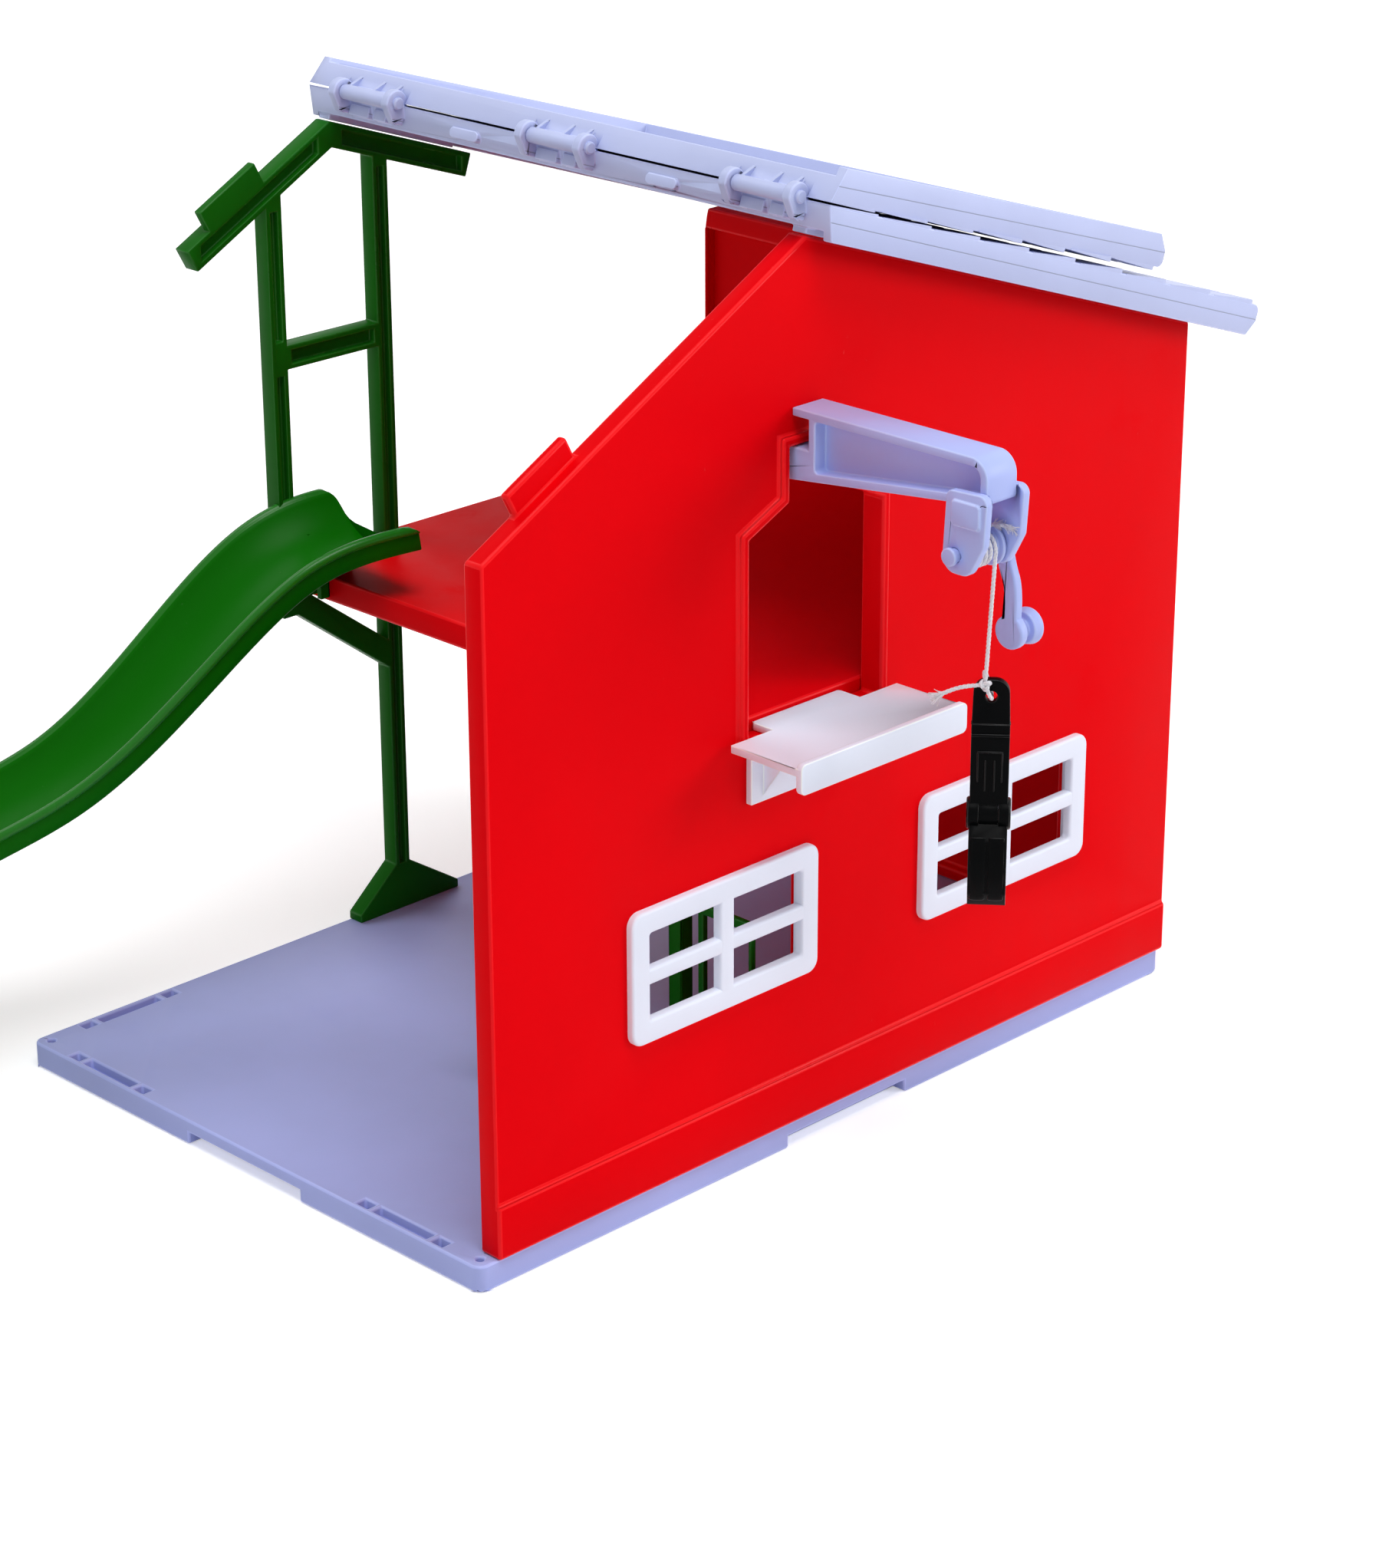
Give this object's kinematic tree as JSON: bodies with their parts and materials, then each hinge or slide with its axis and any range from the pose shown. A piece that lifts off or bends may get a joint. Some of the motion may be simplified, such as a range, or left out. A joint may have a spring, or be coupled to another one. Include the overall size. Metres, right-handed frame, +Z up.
{
  "type": "toy stable",
  "caption": "Open toy stable with gable and side walls, a loft, a curved slide, a roof leaf that folds over the other, and a hand winch with a gripper.",
  "frame": {"origin": "centre of the base plate's underside", "axes": "+X along the gable wall to the side wall, +Y from the gable wall to the end frame, +Z up"},
  "size_m": [0.3248, 0.2583, 0.2161],
  "materials": {
    "grey_plastic": "satin moulded plastic",
    "red_plastic": "satin moulded plastic",
    "green_plastic": "satin moulded plastic",
    "white_plastic": "satin moulded plastic",
    "black_plastic": "satin moulded plastic",
    "steel": "plain wire",
    "string": "twisted cotton"
  },
  "bodies": {
    "stable": {"base_plate": "grey_plastic", "gable_wall": "red_plastic", "side_wall": "red_plastic", "loft_floor": "red_plastic", "end_frame": "green_plastic", "roof_right_panel": "grey_plastic", "roof_hinge_pin_1": "steel", "roof_hinge_pin_2": "steel", "roof_hinge_pin_3": "steel", "window_left": "white_plastic", "window_right": "white_plastic", "loading_ledge": "white_plastic", "slide_chute": "green_plastic", "crane_arm": "grey_plastic", "winch_cheek_near": "grey_plastic", "winch_cheek_far": "grey_plastic", "hoist_string": "string", "stall_fence": "green_plastic"},
    "roof_left": {"roof_left_panel": "grey_plastic"},
    "winch": {"winch_drum": "grey_plastic", "winch_crank": "grey_plastic", "crank_knob": "grey_plastic", "string_winding": "string"},
    "hoist": {"gripper_front_jaw": "black_plastic", "gripper_pin": "steel", "string_knot": "string", "string_tail": "string"},
    "gripper_jaw": {"gripper_rear_jaw": "black_plastic"}
  },
  "joints": [
    {"name": "roof_left_hinge", "type": "hinge", "parent": "stable", "child": "roof_left", "pos_m": [-0.0176, 0, 0.2113], "axis": [0, -1, 0], "range_deg": [0, 225.6]},
    {"name": "winch_turn", "type": "hinge", "parent": "stable", "child": "winch", "pos_m": [0, -0.12165, 0.1481], "axis": [1, 0, 0], "range_deg": [-290, 1075]},
    {"name": "hoist_travel", "type": "slide", "parent": "stable", "child": "hoist", "axis": [0, 0, -1], "range_m": [-0.018, 0.066], "deforming": ["hoist_string"]},
    {"name": "gripper_open", "type": "hinge", "parent": "hoist", "child": "gripper_jaw", "pos_m": [-0.013, -0.12515, 0.0919], "axis": [0.6428, -0.766, 0], "range_deg": [-6, 12]}
  ],
  "couplings": [
    {"joint": "hoist_travel", "follows": "winch_turn", "m_per_rad": 0.0035}
  ]
}
